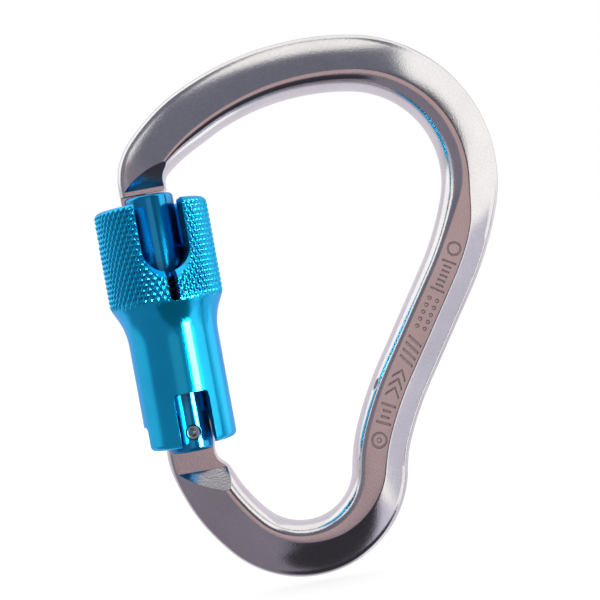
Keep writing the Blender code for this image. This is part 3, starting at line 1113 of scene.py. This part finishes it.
def soft_box(wire, colour, around, off, inner, outer, tint):
    """Lays one soft-edged round light or dark card over the studio's colour so far."""
    place = wire.add("ShaderNodeTexCoord").outputs["Generated"]
    dot = wire.add(
        "ShaderNodeVectorMath",
        [(0, place), (1, tuple(toward(around, off)))],
        operation="DOT_PRODUCT",
    ).outputs["Value"]
    share = wire.add(
        "ShaderNodeMapRange",
        [
            ("Value", dot),
            ("From Min", math.cos(math.radians(outer))),
            ("From Max", math.cos(math.radians(inner))),
        ],
        interpolation_type="SMOOTHSTEP",
    ).outputs["Result"]
    mix = wire.add("ShaderNodeMix", data_type="RGBA")
    wire.tree.links.new(share, mix.inputs["Factor"])
    wire.tree.links.new(colour, mix.inputs[6])
    mix.inputs[7].default_value = (*tint, 1.0)
    return mix.outputs[2]


def make_studio():
    """The soft studio that the metal mirrors. The camera itself sees plain white."""
    world = bpy.data.worlds.new("studio")
    world.use_nodes = True
    world.node_tree.nodes.clear()
    wire = Nodes(world)
    colour = wire.add("ShaderNodeRGB")
    colour.outputs[0].default_value = (*STUDIO_BASE, 1.0)
    colour = colour.outputs[0]
    for around, off, inner, outer, tint in STUDIO_LOBES:
        colour = soft_box(wire, colour, around, off, inner, outer, tint)
    lit = wire.add("ShaderNodeBackground", [("Color", colour), ("Strength", 1.0)])
    seen = wire.add("ShaderNodeBackground", [("Color", (*WHITE, 1.0)), ("Strength", 1.0)])
    path = wire.add("ShaderNodeLightPath").outputs["Is Camera Ray"]
    mixed = wire.add(
        "ShaderNodeMixShader", [(0, path), (1, lit.outputs[0]), (2, seen.outputs[0])]
    ).outputs[0]
    wire.add("ShaderNodeOutputWorld", [("Surface", mixed)])
    bpy.context.scene.world = world
    bpy.context.scene.view_settings.view_transform = "Standard"


def make_strip(blue_pieces):
    """A low strip light whose only job is the long highlight down the sleeve's barrel."""
    data = bpy.data.lights.new("strip", "AREA")
    data.shape = "RECTANGLE"
    data.size, data.size_y = STRIP_SIZE
    data.energy = STRIP_POWER
    lamp = bpy.data.objects.new("strip", data)
    bpy.context.scene.collection.objects.link(lamp)
    target = Vector(STRIP_TARGET) * MM
    lamp.location = target + Vector(STRIP_OFFSET)
    lamp.rotation_mode = "QUATERNION"
    lamp.rotation_quaternion = (target - lamp.location).to_track_quat("-Z", "Y")
    lamp.visible_camera = False
    lamp.visible_diffuse = False
    lit = bpy.data.collections.new("strip_lights_these")
    for piece in blue_pieces:
        lit.objects.link(piece)
    lamp.light_linking.receiver_collection = lit


def make_floor():
    """A pale round studio floor just below the object, seen through from underneath."""
    level = cad_box[0].z - FLOOR_GAP
    sides = FLOOR_SIDES
    points = [(0.0, 0.0, level)]
    for i in range(sides):
        a = 2 * math.pi * i / sides
        points.append((FLOOR_R * math.cos(a), FLOOR_R * math.sin(a), level))
    faces = [(0, i + 1, (i + 1) % sides + 1) for i in range(sides)]
    mesh = bpy.data.meshes.new("floor")
    mesh.from_pydata(points, [], faces)
    floor = bpy.data.objects.new("floor", mesh)
    bpy.context.scene.collection.objects.link(floor)
    mat = bpy.data.materials.new("pale_floor")
    mat.use_nodes = True
    wire = Nodes(mat)
    nodes = mat.node_tree.nodes
    shader = nodes["Principled BSDF"]
    shader.inputs["Base Color"].default_value = (0.3, 0.3, 0.3, 1.0)
    shader.inputs["Roughness"].default_value = 0.9
    shader.inputs["Specular IOR Level"].default_value = 0.1
    shader.inputs["Emission Color"].default_value = (*WHITE, 1.0)
    shader.inputs["Emission Strength"].default_value = FLOOR_GLOW
    below = wire.add("ShaderNodeNewGeometry").outputs["Backfacing"]
    clear = wire.add("ShaderNodeBsdfTransparent").outputs[0]
    mixed = wire.add(
        "ShaderNodeMixShader", [(0, below), (1, shader.outputs[0]), (2, clear)]
    ).outputs[0]
    wire.tree.links.new(mixed, nodes["Material Output"].inputs["Surface"])
    mesh.materials.append(mat)
    floor.visible_glossy = False


def make_camera():
    data = bpy.data.cameras.new("camera")
    data.sensor_width = 36.0
    data.lens = LENS
    data.clip_start = 0.01
    data.clip_end = 20.0
    cam = bpy.data.objects.new("camera", data)
    bpy.context.scene.collection.objects.link(cam)
    cam.rotation_mode = "QUATERNION"
    cam.rotation_quaternion = Matrix(picture_axes()).transposed().to_quaternion()
    cam.location = Vector(CAMERA_AT) * MM
    bpy.context.scene.camera = cam


# ---------------------------------------------------------------- assembly


def place(obj, node, body, material_slot, mat):
    """Puts a finished piece in its CAD node's place, on its body and with its material."""
    obj.data.materials.clear()
    obj.data.materials.append(mat)
    for poly in obj.data.polygons:
        poly.material_index = 0
    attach(obj, body)
    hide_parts(node)


def make_metals():
    """The five finishes, by name."""
    silver = metal(
        "polished_aluminium_worked",
        light=(0.76, 0.75, 0.755),
        dark=(0.7, 0.685, 0.69),
        roughness=(0.1, 0.16),
        rounding=0.14,
        grain=2600.0,
        bump=0.6,
        crease_shade_reach=0.35,
        speckle=0.075,
    )
    grip_blue = metal(
        "blue_anodised_grip",
        light=(0.0, 0.56, 0.95),
        dark=(0.0, 0.5, 0.9),
        roughness=(0.15, 0.21),
        rounding=0.06,
        grain=3500.0,
        bump=0.2,
        coat=0.5,
        metallic=0.88,
        # painted shade darkens the knurl's grooves
        crease_shade_reach=0.4,
    )
    gate_blue = metal(
        "blue_anodised_polished",
        light=(0.0, 0.42, 0.82),
        dark=(0.0, 0.36, 0.76),
        roughness=(0.1, 0.16),
        rounding=0.2,
        grain=2600.0,
        bump=0.12,
        coat=0.7,
        metallic=0.9,
        # a long reach, so the painted shade darkens the gate deep inside the sleeve's slot
        crease_shade_reach=4.0,
    )
    steel = metal(
        "polished_steel_worked",
        light=(0.8, 0.78, 0.76),
        dark=(0.7, 0.68, 0.66),
        roughness=(0.12, 0.2),
        rounding=0.06,
        grain=3500.0,
        bump=0.25,
        crease_shade_reach=0.6,
    )
    black = metal(
        "black_oxide_steel",
        light=(0.03, 0.03, 0.033),
        dark=(0.018, 0.018, 0.02),
        roughness=(0.28, 0.4),
        rounding=0.04,
        grain=4200.0,
        bump=0.3,
    )
    return silver, grip_blue, gate_blue, steel, black


def main():
    silver, grip_blue, gate_blue, steel, black = make_metals()
    place(make_body(), "body_frame", "body", "polished_aluminium", silver)
    gate = make_gate()
    place(gate, "gate_barrel", "gate", "blue_anodised_gate", gate_blue)
    place(make_pin(), "hinge_pin", "gate", "polished_steel", steel)
    place(make_plunger(), "gate_plunger", "plunger", "polished_steel", steel)
    inner = coil("inner_spring", *GATE_COIL)
    place(inner, "gate_spring", "gate", "spring_steel", black)
    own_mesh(inner)
    sleeve = make_sleeve()
    place(sleeve, "locking_sleeve", "sleeve", "blue_anodised", grip_blue)
    thrust = make_washer("push_washer", (5.25, 7.0), (10.3, 11.1))
    place(thrust, "thrust_washer", "washer", "polished_steel", steel)
    outer = coil("outer_spring", *SLEEVE_COIL)
    place(outer, "sleeve_spring", "gate", "spring_steel", black)
    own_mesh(outer)
    seat = make_washer("seat_washer", (5.2, 6.9), (28.0, 28.7))
    place(seat, "spring_seat", "gate", "spring_steel", black)
    place(make_ring(), "retaining_ring", "gate", "spring_steel", black)
    make_studio()
    make_strip((gate, sleeve))
    make_floor()
    make_camera()


main()
